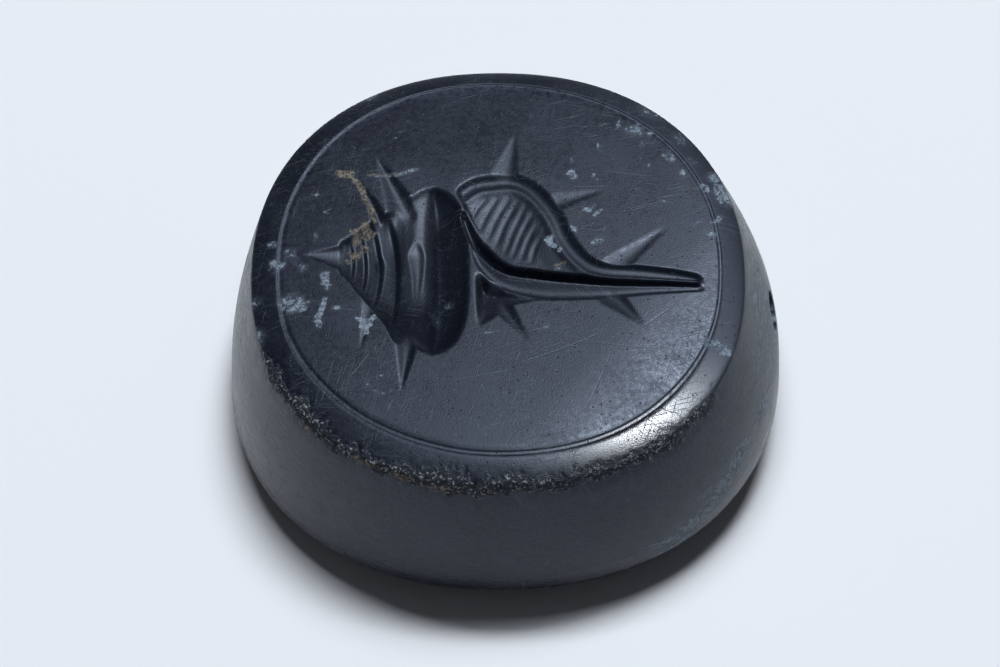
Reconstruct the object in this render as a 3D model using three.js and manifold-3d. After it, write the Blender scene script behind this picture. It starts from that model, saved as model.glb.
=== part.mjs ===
// Engraved seal stone: a round scaraboid of polished black stone. A murex shell is sunk into its face, inside
// a thin border line, the front of the edge is chipped, and a string hole runs through it from side to side.
// Millimetres, +Z up. The origin is the middle of the flat spot under the domed back. +X runs along the hole,
// towards the tip of the shell's canal, and +Y runs up the face.

import * as THREE from "three";
import { mergeVertices } from "three/addons/utils/BufferGeometryUtils.js";
import Module from "manifold-3d";

// Driving dimensions of the stone
const girthLength = 20.0; // across X, at the widest line
const girthWidth = 18.6; // across Y
const girthHeight = 2.0; // the widest line's mean height
const girthRise = new THREE.Vector2(0.33, 0.2); // that line climbs by this towards +X and +Y
const thickness = 8.8;
const flatRadius = 3.6; // the worn spot that the stone lies on
const edgeRadius = 8.82; // where the face rolls over into the side
const edgeDrop = 0.64; // that edge lies this far below the face's middle
const edgeMiddle = new THREE.Vector2(-0.26, -0.13); // middle of that edge, seen from above
const faceMiddle = new THREE.Vector2(-0.19, -0.29); // middle of the picture
const faceDome = 0.26; // rise of the face's middle above the border line
const rimBevel = 0.55; // share of the rim's fall that is a plain slope, the rest rounds over
const planPower = 2.2; // 2 is a true round, more is squarer

// Border line round the picture
const borderRadius = 7.9;
const borderHalfWidth = 0.13;
const borderDepth = 0.13;

// String hole
const boreRadius = 0.7;
const mouthRadius = 0.85;
const mouthLength = 0.9;
const boreHeight = 4.1; // at the stone's middle
const boreAside = 1.3; // it passes this far behind the middle
const boreTurn = -3.5; // degrees about +Z: the hole runs a little askew
const boreClimb = 2.9; // degrees that it climbs towards +X

// Mesh fineness
const stoneSegments = 72;
const sideRows = 5;
const underRows = 7;
const rimRows = 4;
const faceRows = 3;

// The shell, in millimetres from the face's middle. Each scoop or groove is a stroke of the gouge along a
// path of [x, y] points, and its depth is measured down from the face.
const whorls = [
  { path: [[-2.5, 3.5], [-2.4, 0], [-2.48, -3.45]], halfWidth: 1.2, depth: 1.25 },
  { path: [[-4.25, 2.6], [-4.0, 0.1], [-4.12, -2.3]], halfWidth: 0.4, depth: 0.74 },
  { path: [[-4.76, 2.1], [-4.6, 0.2], [-4.7, -1.55]], halfWidth: 0.27, depth: 0.6 },
  { path: [[-5.18, 1.7], [-5.07, 0.3], [-5.16, -1.0]], halfWidth: 0.22, depth: 0.5 },
  { path: [[-5.56, 1.4], [-5.47, 0.45], [-5.53, -0.45]], halfWidth: 0.2, depth: 0.42 },
];
const apex = { base: [-5.55, 0.5], tip: [-6.85, 0.74], halfWidth: 0.62, depth: 0.34 };
const spines = [
  { base: [-4.45, 2.2], tip: [-5.6, 4.25], halfWidth: 0.26, depth: 0.36 },
  { base: [-3.55, 2.7], tip: [-4.42, 4.9], halfWidth: 0.6, depth: 0.5 },
  { base: [0.1, 3.9], tip: [0.55, 5.95], halfWidth: 0.42, depth: 0.24 },
  { base: [-0.9, 3.7], tip: [0.25, 5.15], halfWidth: 0.26, depth: 0.14 },
  { base: [2.15, 2.85], tip: [3.8, 3.52], halfWidth: 0.28, depth: 0.17 },
  { base: [4.0, 0.4], tip: [5.95, 1.88], halfWidth: 0.42, depth: 0.2 },
  { base: [3.7, -1.05], tip: [5.05, -2.22], halfWidth: 0.34, depth: 0.2 },
  { base: [0.15, -1.6], tip: [0.98, -2.98], halfWidth: 0.22, depth: 0.2 },
  { base: [-3.3, -2.8], tip: [-3.48, -5.0], halfWidth: 0.46, depth: 0.32 },
  { base: [-4.66, -1.55], tip: [-4.92, -3.2], halfWidth: 0.34, depth: 0.22 },
];
const outerLip = {
  path: [[-1.65, 3.05], [-0.65, 3.7], [0.2, 3.9], [1.1, 3.7], [1.75, 2.9], [2.3, 1.45],
    [3.25, 0.3], [4.6, 0.05], [7.2, -0.12]],
  halfWidth: 0.27,
  depth: 0.45,
};
const columella = {
  path: [[-1.32, 2.5], [-1.08, 1.5], [-0.05, 0.22], [1.5, -0.34], [3.5, -0.48], [6.95, -0.4]],
  halfWidth: 0.2,
  depth: 0.8,
};
const canalWall = {
  path: [[-0.85, 0.35], [-0.1, -0.65], [1.5, -1.0], [3.6, -0.95], [7.15, -0.7]],
  halfWidth: 0.27,
  depth: 0.42,
};
const shellBase = { base: [-0.62, -1.0], tip: [2.3, -1.2], halfWidth: 0.62, depth: 0.55 };
const apertureDepth = 0.42;
const apertureEdge = [[-1.25, 2.45], [-0.6, 3.35], [0.2, 3.6], [1.05, 3.35], [1.6, 2.5], [2.05, 1.2],
  [2.9, 0.0], [1.6, -0.2], [0.1, 0.35], [-0.85, 1.45]];
const ribCount = 8;
const ribFoot = [[-1.1, 2.15], [-0.6, 1.15], [0.3, 0.32], [1.55, -0.1]]; // where the ribs start
const ribHead = [[-0.6, 2.95], [0.3, 3.05], [1.25, 2.45], [1.65, 1.1]]; // and where they end
const ribHalfWidth = 0.085;
const ribDepth = 0.12; // below the aperture's floor

// Chips along the front of the edge
const chipCount = 17;
const chipSpan = [203, 322]; // degrees round the stone, from +X
const chipSize = [0.42, 0.3, 0.24]; // along the edge, across it and deep
const chipInset = 0.12; // the chips wander this far in from the edge
const chipLift = 0.16; // and sit this far above it

const wasm = await Module();
wasm.setup();

// A closed three.js geometry as a solid for joining and cutting.
function solidOf(geometry) {
  const bare = geometry.index ? geometry.toNonIndexed() : geometry.clone();
  bare.deleteAttribute("normal");
  bare.deleteAttribute("uv");
  const merged = mergeVertices(bare, 1e-4);
  return new wasm.Manifold(
    new wasm.Mesh({
      numProp: 3,
      vertProperties: merged.attributes.position.array,
      triVerts: new Uint32Array(merged.index.array),
    }),
  );
}

// A cut or joined solid as a three.js geometry.
function geometryOf(solid) {
  const { vertProperties, triVerts } = solid.getMesh();
  const geometry = new THREE.BufferGeometry();
  geometry.setAttribute("position", new THREE.BufferAttribute(vertProperties, 3));
  geometry.setIndex(new THREE.BufferAttribute(triVerts, 1));
  geometry.computeVertexNormals();
  return geometry;
}

// Height of the uncut face, at a point measured from its middle.
function faceHeight(x, y) {
  return thickness - faceDome * (x * x + y * y) / borderRadius ** 2;
}

// The stone's profile from the middle of the face to the middle of the flat spot: [radius, height] points.
function stoneProfile() {
  const profile = [];
  for (let i = 0; i <= faceRows; i += 1) {
    const radius = (borderRadius - borderHalfWidth) * i / faceRows;
    profile.push([radius, faceHeight(radius, 0)]);
  }
  const rimTop = borderRadius + borderHalfWidth;
  profile.push([borderRadius, faceHeight(borderRadius, 0) - borderDepth]);
  const rimFall = edgeDrop - (thickness - faceHeight(rimTop, 0));
  for (let i = 0; i <= rimRows; i += 1) {
    const turn = Math.PI / 2 * i / rimRows;
    const radius = rimTop + (edgeRadius - rimTop) * Math.sin(turn);
    const fall = rimBevel * Math.sin(turn) + (1 - rimBevel) * (1 - Math.cos(turn));
    profile.push([radius, faceHeight(rimTop, 0) - rimFall * fall]);
  }
  const girthRadius = girthLength / 2;
  const edgeHeight = thickness - edgeDrop;
  for (let i = 1; i <= sideRows; i += 1) {
    const share = i / sideRows;
    const radius = edgeRadius + (girthRadius - edgeRadius) * flare(share);
    profile.push([radius, edgeHeight + (girthHeight - edgeHeight) * share]);
  }
  for (let i = 1; i <= underRows; i += 1) {
    const turn = Math.PI / 2 * i / underRows;
    const radius = flatRadius + (girthRadius - flatRadius) * Math.cos(turn);
    profile.push([radius, girthHeight * (1 - Math.sin(turn))]);
  }
  profile.push([0, 0]);
  return profile.map(([radius, height]) => new THREE.Vector2(radius, height));
}

// How far down the side a height lies: 0 at the edge and above, 1 at the girth and below.
function sideShare(height) {
  const edgeHeight = thickness - edgeDrop;
  return THREE.MathUtils.clamp((edgeHeight - height) / (edgeHeight - girthHeight), 0, 1);
}

// How far the side has flared out at that share of its height.
function flare(share) {
  return Math.sin(share * Math.PI / 2);
}

// Radius of the squared round in the direction of a unit vector.
function squared(c, s) {
  return (Math.abs(c) ** planPower + Math.abs(s) ** planPower) ** (-1 / planPower);
}

// Middle of the stone's outline, seen from above: the picture's middle inside the border, then the edge's,
// then the girth's, which is the origin.
function outlineMiddle(radius, share) {
  const rim = THREE.MathUtils.clamp((radius - borderRadius) / (edgeRadius - borderRadius), 0, 1);
  return faceMiddle.clone().lerp(edgeMiddle, rim).multiplyScalar(1 - flare(share));
}

// The whole stone before it is cut: the turned profile, squared a little in plan, with its face set off
// centre and its widest line leaning.
function blankStone() {
  const turned = new THREE.LatheGeometry(stoneProfile().reverse(), stoneSegments).rotateX(Math.PI / 2);
  const place = turned.getAttribute("position");
  for (let i = 0; i < place.count; i += 1) {
    const [x, y, z] = [place.getX(i), place.getY(i), place.getZ(i)];
    const radius = Math.hypot(x, y);
    const [c, s] = radius > 0 ? [x / radius, y / radius] : [1, 0];
    const share = sideShare(z);
    const middle = outlineMiddle(radius, share);
    const reach = radius * squared(c, s);
    const widthRatio = THREE.MathUtils.lerp(1, girthWidth / girthLength, flare(share));
    const rise = Math.min(share, z / girthHeight) * (girthRise.x * c + girthRise.y * s);
    place.setXYZ(i, middle.x + reach * c, middle.y + reach * s * widthRatio, z + rise);
  }
  return solidOf(turned);
}

// One stroke of the gouge: elliptical sections along a smooth path, narrowing to a point at both ends.
// The taper gives the share of the full section at each place along the path.
function stroke(path, halfWidth, depth, taper, steps, sides, lower = 0) {
  const curve = new THREE.CatmullRomCurve3(path.map(([x, y]) => new THREE.Vector3(x, y, 0)));
  const points = [];
  const faces = [];
  for (let i = 1; i < steps; i += 1) {
    const middle = curve.getPointAt(i / steps);
    const along = curve.getTangentAt(i / steps);
    const share = taper(i / steps);
    for (let j = 0; j < sides; j += 1) {
      const turn = 2 * Math.PI * j / sides;
      const across = halfWidth * share * Math.cos(turn);
      const x = middle.x - along.y * across;
      const y = middle.y + along.x * across;
      points.push(x, y, faceHeight(middle.x, middle.y) - lower + depth * share * Math.sin(turn));
    }
  }
  const rings = steps - 1;
  for (const end of [0, 1]) {
    const tip = curve.getPointAt(end);
    points.push(tip.x, tip.y, faceHeight(tip.x, tip.y) - lower + 0.15 * depth);
  }
  const [first, last] = [rings * sides, rings * sides + 1];
  for (let j = 0; j < sides; j += 1) {
    const next = (j + 1) % sides;
    faces.push(first, next, j);
    for (let i = 0; i < rings - 1; i += 1) {
      const [a, b] = [i * sides, (i + 1) * sides];
      faces.push(a + j, a + next, b + j, a + next, b + next, b + j);
    }
    const end = (rings - 1) * sides;
    faces.push(last, end + j, end + next);
  }
  const geometry = new THREE.BufferGeometry();
  geometry.setAttribute("position", new THREE.Float32BufferAttribute(points, 3));
  geometry.setIndex(faces);
  return solidOf(geometry);
}

const scoopTaper = (t) => Math.sqrt(1 - Math.abs(2 * t - 1) ** 3);
const spineTaper = (t) => 1.25 * (1 - t);
const veinTaper = (t) => Math.min(1, 0.35 + 6 * t, 0.3 + 9 * (1 - t));

// A spine or a point: full at its base, narrowing to its tip. It starts a little inside the shell.
function spineStroke({ base, tip, halfWidth, depth }) {
  const start = base.map((at, axis) => at - 0.25 * (tip[axis] - at));
  return stroke([start, tip], halfWidth, depth, spineTaper, 5, 8);
}

// The hollow of the aperture, with a flat floor.
function aperture() {
  const edge = new THREE.CatmullRomCurve3(apertureEdge.map(([x, y]) => new THREE.Vector3(x, y, 0)), true);
  const outline = new THREE.Shape(edge.getPoints(30).slice(0, -1).map(({ x, y }) => new THREE.Vector2(x, y)));
  const block = new THREE.ExtrudeGeometry(outline, { depth: 2 * apertureDepth, bevelEnabled: false });
  return solidOf(block.translate(0, 0, thickness - apertureDepth));
}

// The ribs that cross the aperture, spread evenly from the shell's shoulder to its canal.
function ribs() {
  const along = (points) => new THREE.CatmullRomCurve3(points.map(([x, y]) => new THREE.Vector3(x, y, 0)));
  const [foot, head] = [along(ribFoot), along(ribHead)];
  return Array.from({ length: ribCount }, (_, i) => {
    const t = i / (ribCount - 1);
    const [start, end] = [foot.getPointAt(t), head.getPointAt(t)];
    const path = [[start.x, start.y], [end.x, end.y]];
    return stroke(path, ribHalfWidth, ribDepth, scoopTaper, 4, 6, apertureDepth);
  });
}

// Every stroke of the picture, moved from the face's middle to its place on the stone.
function shellCuts() {
  const cuts = [
    ...whorls.map((w) => stroke(w.path, w.halfWidth, w.depth, scoopTaper, 12, 12)),
    ...[apex, shellBase, ...spines].map(spineStroke),
    stroke(outerLip.path, outerLip.halfWidth, outerLip.depth, veinTaper, 28, 8),
    stroke(columella.path, columella.halfWidth, columella.depth, veinTaper, 22, 8),
    stroke(canalWall.path, canalWall.halfWidth, canalWall.depth, veinTaper, 18, 8),
    aperture(),
    ...ribs(),
  ];
  return wasm.Manifold.union(cuts).translate([faceMiddle.x, faceMiddle.y, 0]);
}

// The string hole, with mouths worn wider than the bore.
function stringHole() {
  const reach = girthLength / 2 + 1;
  const mouthStart = girthLength / 2 - mouthLength;
  const profile = [
    [0, -reach], [mouthRadius, -reach], [boreRadius, -mouthStart],
    [boreRadius, mouthStart], [mouthRadius, reach], [0, reach],
  ].map(([radius, along]) => new THREE.Vector2(radius, along));
  const bore = new THREE.LatheGeometry(profile, 20).rotateZ(-Math.PI / 2);
  bore.rotateY(-THREE.MathUtils.degToRad(boreClimb)).rotateZ(THREE.MathUtils.degToRad(boreTurn));
  return solidOf(bore.translate(0, boreAside, boreHeight));
}

// Small chips knocked out of the front edge, of uneven size.
function edgeChips() {
  const chips = Array.from({ length: chipCount }, (_, i) => {
    const around = THREE.MathUtils.degToRad(THREE.MathUtils.lerp(...chipSpan, i / (chipCount - 1)));
    const uneven = 0.8 + 0.3 * Math.sin(5.3 * i);
    const chip = new THREE.SphereGeometry(1, 8, 6);
    chip.scale(chipSize[1] * uneven, chipSize[0] * uneven, chipSize[2] * uneven).rotateZ(around);
    const [c, s] = [Math.cos(around), Math.sin(around)];
    const reach = (edgeRadius - chipInset * (1 + Math.sin(3.7 * i))) * squared(c, s);
    chip.translate(edgeMiddle.x + reach * c, edgeMiddle.y + reach * s, thickness - edgeDrop + chipLift);
    return solidOf(chip);
  });
  return wasm.Manifold.union(chips);
}

const blackStone = new THREE.MeshStandardMaterial({ color: 0x23262d, roughness: 0.35, metalness: 0 });
const carved = blankStone().subtract(shellCuts()).subtract(stringHole()).subtract(edgeChips());
const sealStone = new THREE.Mesh(geometryOf(carved), blackStone);
sealStone.name = "seal_stone";

const seal = new THREE.Group();
seal.add(sealStone);

export default seal;
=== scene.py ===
import math

import bpy
import numpy as np
from mathutils import Euler, Matrix, Vector


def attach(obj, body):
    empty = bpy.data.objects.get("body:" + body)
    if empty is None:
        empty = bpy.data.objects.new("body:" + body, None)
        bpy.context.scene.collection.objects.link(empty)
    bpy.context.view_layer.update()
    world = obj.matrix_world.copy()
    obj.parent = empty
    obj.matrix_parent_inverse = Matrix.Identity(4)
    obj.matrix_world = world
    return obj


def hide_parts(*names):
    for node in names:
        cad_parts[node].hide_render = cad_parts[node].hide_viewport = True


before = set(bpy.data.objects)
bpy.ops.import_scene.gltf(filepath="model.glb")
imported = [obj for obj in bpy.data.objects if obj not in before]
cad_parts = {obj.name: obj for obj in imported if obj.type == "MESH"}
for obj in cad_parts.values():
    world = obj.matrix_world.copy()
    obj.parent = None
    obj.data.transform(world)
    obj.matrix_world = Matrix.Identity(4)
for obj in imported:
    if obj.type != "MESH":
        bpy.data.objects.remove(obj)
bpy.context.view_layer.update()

mm = 0.001  # the sizes below are in millimetres

# The blank stone, with heights measured from the table.
stone = {
    "girth": (20.0, 18.6),  # length and width at the widest line
    "girthHeight": 2.0,
    "girthRise": (0.33, 0.2),  # the widest line climbs by this towards +X and +Y
    "thickness": 8.8,
    "flatRadius": 3.6,
    "edgeRadius": 8.82,  # where the rim turns into the side
    "edgeDrop": 0.64,
    "edgeMiddle": (-0.26, -0.13),
    "faceMiddle": (-0.19, -0.29),
    "faceDome": 0.26,
    "domePower": 3.0,  # the face is flatter in the middle than at its border
    "rimBevel": 0.6,  # share of the rim's fall that is a plain slope
    "rimCurl": (2.0, 0.6),  # power of the roll in the rest, and how much it rises where the rim is worn
    "wornPlace": (-52.0, 22.0),  # the rim is most worn at these degrees, fading over these
    "wornDrop": (0.12, 0.14),  # how much lower the edge is there, and the share of the side that follows it
    "wornCorner": (-36.0, 4.6, 0.016),  # the face falls away towards these degrees, from this far out
    "squareness": 2.2,
    "borderRadius": 7.9,
    # the border line was cut by hand: degrees round the face and its radius there
    "borderPath": [
        (0, 7.88), (30, 7.97), (60, 8.02), (95, 8.17), (120, 8.1), (150, 7.97), (180, 7.88), (200, 7.85),
        (212, 7.63), (225, 7.5), (245, 7.42), (265, 7.54), (290, 7.5), (315, 7.53), (327, 7.62), (345, 7.83),
    ],
    "borderEasing": (-8, -4, 0, 4, 8),  # degrees over which the path is averaged
    "borderHalfWidth": (0.07, 0.12),  # at the back and at the front
    "borderWidens": (0.1, 0.7),  # -sin(angle) where it leaves the first width and reaches the second
    "borderDepth": 0.036,
    "borderWall": 0.3,  # share of its width that each wall takes
}

# Rows and columns of the surface: a rounded block of fine squares under the picture, then rings round it.
weave = {
    "across": 250,
    "along": 196,
    "halfLength": 7.0,
    "halfWidth": 5.7,
    "middle": (0.15, 0.38),
    "rounding": 0.33,
    "denseX": (-0.86, -0.16, 0.55),  # from, to, and how much closer the columns stand under the spire
    "denseY": (-0.38, 0.1, 0.9),  # the same for the rows under the canal
    "faceRows": 8,
    "borderRows": 8,
    "rimRows": 15,
    "sideRows": 12,
    "sideBunching": 1.6,  # the rows stand closer towards the edge
    "underRows": 7,
}

edgeRadius = stone["edgeRadius"]
edgeHeight = stone["thickness"] - stone["edgeDrop"]
girthRadius = stone["girth"][0] / 2
girthHeight = stone["girthHeight"]
faceMiddle = stone["faceMiddle"]
sideSpan = 6  # places across go from 0 at the border to 1 at the edge, then on by this down the side
underPlace = 9.0  # one place for all of the back, past those of the side


# squared radius = (|cos|^n + |sin|^n)^(-1/n), a round drawn a little towards a square
def squared(theta):
    power = stone["squareness"]
    return (np.abs(np.cos(theta)) ** power + np.abs(np.sin(theta)) ** power) ** (-1 / power)


# squared radius and angle of points about a middle
def polarAbout(x, y, middle=(0, 0)):
    theta = np.arctan2(y - middle[1], x - middle[0])
    return np.hypot(x - middle[0], y - middle[1]) / squared(theta), theta


# face height = thickness - dome * (radius / border radius)^power - fall * (distance past the worn line)^2
def faceHeight(radius, theta):
    degrees, start, fall = stone["wornCorner"]
    past = np.maximum(radius * np.cos(theta - math.radians(degrees)) - start, 0)
    dome = stone["faceDome"] * (radius / stone["borderRadius"]) ** stone["domePower"]
    return stone["thickness"] - dome - fall * past**2


# border line's radius at an angle, read between the points of its path and averaged over a few degrees
def borderAt(theta):
    degrees, radius = np.array(stone["borderPath"]).T
    shifts = stone["borderEasing"]
    around = [np.interp(np.degrees(theta) + shift, degrees, radius, period=360) for shift in shifts]
    return sum(around) / len(shifts)


# half width of the border line: from the back's to the front's as -sin(angle) rises
def borderHalf(theta):
    back, front = stone["borderHalfWidth"]
    return back + (front - back) * smooth(-np.sin(theta), *stone["borderWidens"])


# how worn the rim is at an angle = exp(-(degrees from the worn place / spread)^2)
def wornShare(theta):
    middle, spread = stone["wornPlace"]
    apart = (np.degrees(theta) - middle + 180) % 360 - 180
    return np.exp(-((apart / spread) ** 2))


# smooth step = 3t^2 - 2t^3 between two limits
def smooth(value, low, high):
    t = np.clip((value - low) / (high - low), 0, 1)
    return t * t * (3 - 2 * t)


# larger of two fields, with the crease between them rounded over a width k
def softMax(a, b, k):
    near = np.maximum(k - np.abs(a - b), 0) / k
    return np.maximum(a, b) + near * near * k / 4


# value noise: heights hashed from a square lattice's corners (a sine's fraction), eased between them
def latticeNoise(x, y, seed):
    def corner(i, j):
        spin = np.sin(i * 127.1 + j * 311.7 + seed * 74.7) * 43758.5453
        return spin - np.floor(spin)
    i, j = np.floor(x), np.floor(y)
    u, v = smooth(x - i, 0, 1), smooth(y - j, 0, 1)
    low = corner(i, j) * (1 - u) + corner(i + 1, j) * u
    high = corner(i, j + 1) * (1 - u) + corner(i + 1, j + 1) * u
    return low * (1 - v) + high * v


# several octaves of lattice noise, each twice as fine and about half as strong, from 0 to 1
def layeredNoise(x, y, seed, octaves=3):
    finer, weaker = 2.03, 0.55
    total, weight = 0, 0
    for octave in range(octaves):
        scale, share = finer**octave, weaker**octave
        total = total + share * latticeNoise(x * scale, y * scale, seed + octave)
        weight += share
    return total / weight


# turned profile (radius, height) set at an angle: squared in plan, its middle sliding from the picture's
# to the girth's, and the girth leaning
def placeOnStone(radius, height, theta):
    share = np.clip((edgeHeight - height) / (edgeHeight - girthHeight), 0, 1)
    flare = np.sin(share * np.pi / 2)
    rim = np.clip((radius - stone["borderRadius"]) / (edgeRadius - stone["borderRadius"]), 0, 1)
    middleX = (faceMiddle[0] * (1 - rim) + stone["edgeMiddle"][0] * rim) * (1 - flare)
    middleY = (faceMiddle[1] * (1 - rim) + stone["edgeMiddle"][1] * rim) * (1 - flare)
    reach = radius * squared(theta)
    narrow = 1 + (stone["girth"][1] / stone["girth"][0] - 1) * flare
    lean = stone["girthRise"][0] * np.cos(theta) + stone["girthRise"][1] * np.sin(theta)
    rise = np.minimum(share, height / girthHeight) * lean
    return middleX + reach * np.cos(theta), middleY + reach * np.sin(theta) * narrow, height + rise


# The picture, in millimetres from the face's middle, +Y up the face. Each stroke of the gouge has a path,
# half width, depth, lean of its deepest line towards the left of the path and, if it is no spine, its way
# of tapering and the power of its section (under 1 rounder, over 1 sharper).
shell = {
    "softness": 0.05,  # how far the worn edges are rounded
    "pathStep": 0.05,  # a path is sampled at about this distance
    "strokeMargin": 0.4,  # a stroke's field is worked out this far beyond its path and half width
    "strokeOutside": (0.3, -4),  # fall of the field outside a stroke, and where it stops
    "whorlOutside": (0.5, -2),  # the same outside the spire and the body whorl
    "thinnest": 0.02,  # least share of a stroke's section
    "fingerTaper": (6, 1.3),  # how fast a finger opens, and how steeply it thins
    "veinTaper": (0.35, 6, 0.3, 9),  # a vein's share at its start, how fast it opens, the same at its end
    # swelling of the groove and the band: place along the path and share of the full section
    "tapers": {
        "groove": [(0, 0.4), (0.15, 0.85), (0.35, 1), (0.5, 0.85), (0.68, 0.55), (1, 0.32)],
        "band": [(0, 0.25), (0.1, 0.6), (0.25, 0.9), (0.42, 1), (0.6, 0.87), (0.78, 0.6), (1, 0.3)],
    },
    # spire: stations along X with the middle of the whorls, their half width and their depth
    "spire": [
        (-6.95, 0.75, 0.02, 0.0), (-5.74, 0.6, 0.48, 0.2), (-5.66, 0.59, 0.72, 0.26),
        (-5.5, 0.56, 0.8, 0.32), (-5.08, 0.42, 1.28, 0.46), (-4.66, 0.31, 1.72, 0.58),
        (-4.06, 0.1, 2.35, 0.66), (-3.75, -0.1, 2.85, 0.68), (-3.4, -0.05, 3.05, 0.5),
        (-3.0, 0.0, 3.2, 0.36), (-2.6, 0.0, 3.3, 0.18), (-1.9, 0.0, 3.3, 0.02),
    ],
    "seams": (-5.72, -5.32, -4.95, -4.5, -3.95, -2.6),  # where one whorl meets the next
    "seamBow": 0.14,  # how far the seams bulge towards the mouth, as a share of the half width
    "seamStep": 0.32,  # rise at a seam, as a share of the depth
    "seamTooth": (0.7, 0.3, 0.6),  # shares of a whorl that deepen it and ease it back, and the tooth's mean
    # body whorl: path down its middle, half width, depth and section
    "body": [(-2.45, 3.5), (-2.35, 0.0), (-2.43, -3.45)],
    "bodyHalfWidth": 1.2,
    "bodyDepth": 1.1,
    "bodyDeepest": 0.62,  # share of the way down where it is deepest
    "bodyEnds": 0.04,  # squared share of the depth that is left at its ends
    "bodyBox": (-2.4, 1.8, 4.2),  # part of the face that holds it: middle along X, half length, half width
    "bodySection": [  # across it from -1 to 1, and the share of the depth: a shoulder, then the deep part
        (-1, 0), (-0.9, 0.17), (-0.75, 0.28), (-0.55, 0.36), (-0.28, 0.43), (-0.1, 0.6), (0.14, 1),
        (0.34, 0.9), (0.6, 0.66), (0.85, 0.34), (1, 0),
    ],
    "sectionEasing": (-0.06, -0.03, 0, 0.03, 0.06),  # half widths over which the section is averaged
    "spines": [
        ([(-4.2, 1.8), (-4.75, 3.2), (-5.5, 4.1)], 0.3, 0.3, -0.4),
        ([(-3.4, 2.4), (-4.45, 4.95)], 0.62, 0.3, -0.6),
        ([(0.08, 3.7), (0.57, 5.95)], 0.52, 0.08, -0.6),
        ([(2.1, 2.95), (3.72, 3.45)], 0.32, 0.06, -0.5),
        ([(4.1, 0.22), (5.97, 1.92)], 0.42, 0.05, -0.3),
        ([(3.9, -1.05), (5.12, -2.28)], 0.46, 0.15, 0.4),
        ([(-0.35, -0.9), (0.97, -2.95)], 0.5, 0.26, 0.5),
        ([(-3.25, -2.3), (-3.48, -5.02)], 0.52, 0.26, 0.6),
        ([(-4.58, -1.2), (-4.94, -3.25)], 0.3, 0.06, 0.3),
    ],
    # columella's groove, and the band below it
    "groove": ([(-1.3, 2.4), (-1.02, 1.7), (-0.72, 1.14), (0.16, 0.24), (1.32, -0.05), (2.58, -0.25),
                (4.17, -0.43), (7.0, -0.46)], 0.3, 1.0, 0.0, "groove", 0.6),
    "band": ([(-0.98, 1.0), (-0.55, 0.2), (0.16, -0.45), (1.32, -0.77), (2.58, -0.84), (4.17, -0.8),
              (7.1, -0.62)], 0.42, 0.17, -0.8, "band", 0.8),
    "mouthBox": (-2, 7.6, -3, 4.4),  # part of the face with lip and hollow: from and to along X, then Y
    # outer lip: its edge, then the depth of the cut at each distance inside it, down into the aperture
    "lipEdge": [(-1.73, 3.35), (-1.11, 3.86), (-0.49, 4.05), (0.48, 4.12), (1.21, 3.79), (1.83, 3.1),
                (2.26, 2.34), (2.58, 1.48), (3.11, 0.71), (3.75, 0.33), (5.22, 0.22), (6.89, 0.0),
                (7.25, -0.3)],
    "lipSteps": (0.0, 0.1, 0.2, 0.34, 0.48, 0.56, 0.64, 0.8, 1.4, 3.0),
    "lipDepths": (0.0, 0.15, 0.19, 0.2, 0.16, 0.11, 0.13, 0.21, 0.3, 0.4),
    "lipOutside": -0.3,  # the field outside the edge
    "lipFade": 0.3,  # distance from the groove over which the cut comes in
    # hollow between the band and the body whorl: its lower edge, the step down from it and the slope after
    "hollowEdge": [(-1.0, -2.6), (0.0, -1.82), (0.7, -1.42), (2.3, -1.2)],
    "hollowStep": 0.08,
    "hollowSlope": 0.42,
    "hollowLeft": (-0.9, 0.35),  # where it starts on the left, and the width over which it comes in
    "hollowRight": (2.2, 0.3),  # the same on the right
    "hollowTop": (0.25, 0.35),  # the same below the band's middle
    # dark lines between the ribs: upper and lower end
    "ribs": [
        ((-0.42, 3.29), (-1.06, 2.25)), ((0.0, 3.38), (-0.79, 1.74)), ((0.37, 3.29), (-0.48, 1.44)),
        ((0.69, 3.18), (-0.16, 1.18)), ((1.0, 3.01), (0.16, 0.86)), ((1.27, 2.76), (0.42, 0.67)),
        ((1.37, 2.18), (0.74, 0.54)), ((1.47, 1.57), (1.11, 0.42)),
    ],
    "ribBow": (-0.06, 0.04),  # how far their middles are pushed aside
    "ribHalfWidth": 0.09,
    "ribDepth": 0.042,
    # folds worked into the whorls and fine lines into the lip: path, half width and extra depth
    "folds": [
        ([(-3.0, 1.4), (-2.95, 0.2), (-2.98, -1.6)], 0.3, 0.11),
        ([(-4.3, 0.95), (-4.24, 0.2), (-4.28, -0.9)], 0.15, 0.1),
        ([(-0.4, 3.72), (0.45, 3.8), (1.0, 3.55), (1.55, 2.9), (1.95, 2.2), (2.25, 1.35), (2.9, 0.45)],
         0.05, 0.04),
    ],
}
pointsAtOnce = 20000  # points compared with a path at a time, which keeps the arrays small


# smooth path through the points (Catmull-Rom), sampled about every path step
def smoothPath(points):
    knots = np.array(points, float)
    knots = np.vstack([2 * knots[0] - knots[1], knots, 2 * knots[-1] - knots[-2]])
    pieces = []
    for a, b, c, d in zip(knots[:-3], knots[1:-2], knots[2:-1], knots[3:]):
        steps = max(3, int(np.hypot(*(c - b)) / shell["pathStep"]))
        t = np.linspace(0, 1, steps, endpoint=False)[:, None]
        bend = (2 * a - 5 * b + 4 * c - d) * t**2 + (3 * b - a - 3 * c + d) * t**3
        pieces.append(0.5 * (2 * b + (c - a) * t + bend))
    return np.vstack(pieces + [knots[-2:-1]])


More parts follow.
